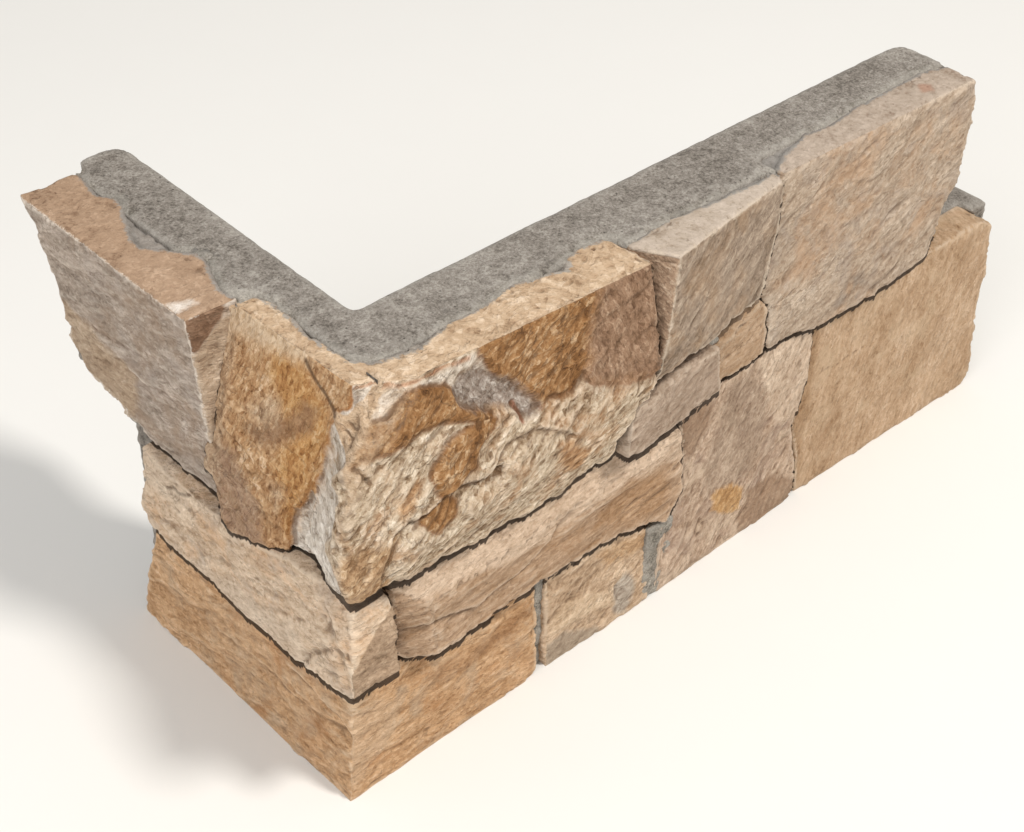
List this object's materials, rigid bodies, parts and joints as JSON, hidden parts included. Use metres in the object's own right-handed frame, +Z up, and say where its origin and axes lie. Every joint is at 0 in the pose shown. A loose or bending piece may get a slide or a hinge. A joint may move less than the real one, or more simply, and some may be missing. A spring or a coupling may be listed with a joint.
{
  "type": "stone cladding corner piece",
  "caption": "Corner panel of split-face stones set in a cement backing, with two unequal legs and stepped ends that key into the next panels.",
  "frame": {"origin": "where the wall's outside corner edge meets the bottom of the panel", "axes": "+X along the long leg away from the corner, +Y along the short leg away from the corner, +Z up; the stones face -Y on the long leg and -X on the short leg"},
  "size_m": [0.4412, 0.2218, 0.2],
  "materials": {
    "cement": "rough grey cement",
    "brown_stone": "split, grey brown with a fine grain",
    "rust_stone": "split, rust orange patches on pale rock",
    "ledge_stone": "split, pale tan",
    "foot_stone": "split, orange tan",
    "tan_stone": "split, yellow tan"
  },
  "bodies": {
    "root": {"backing": "cement", "short_top_stone": "brown_stone", "short_ledge_stone": "ledge_stone", "corner_top_stone": "rust_stone", "corner_bottom_stone": "foot_stone", "long_ledge_stone": "ledge_stone", "long_top_middle_stone": "brown_stone", "long_top_end_stone": "tan_stone", "strip_stone": "ledge_stone", "small_block_stone": "ledge_stone", "long_low_middle_stone": "brown_stone", "long_low_end_stone": "tan_stone", "bottom_filler_stone": "foot_stone"}
  },
  "joints": []
}
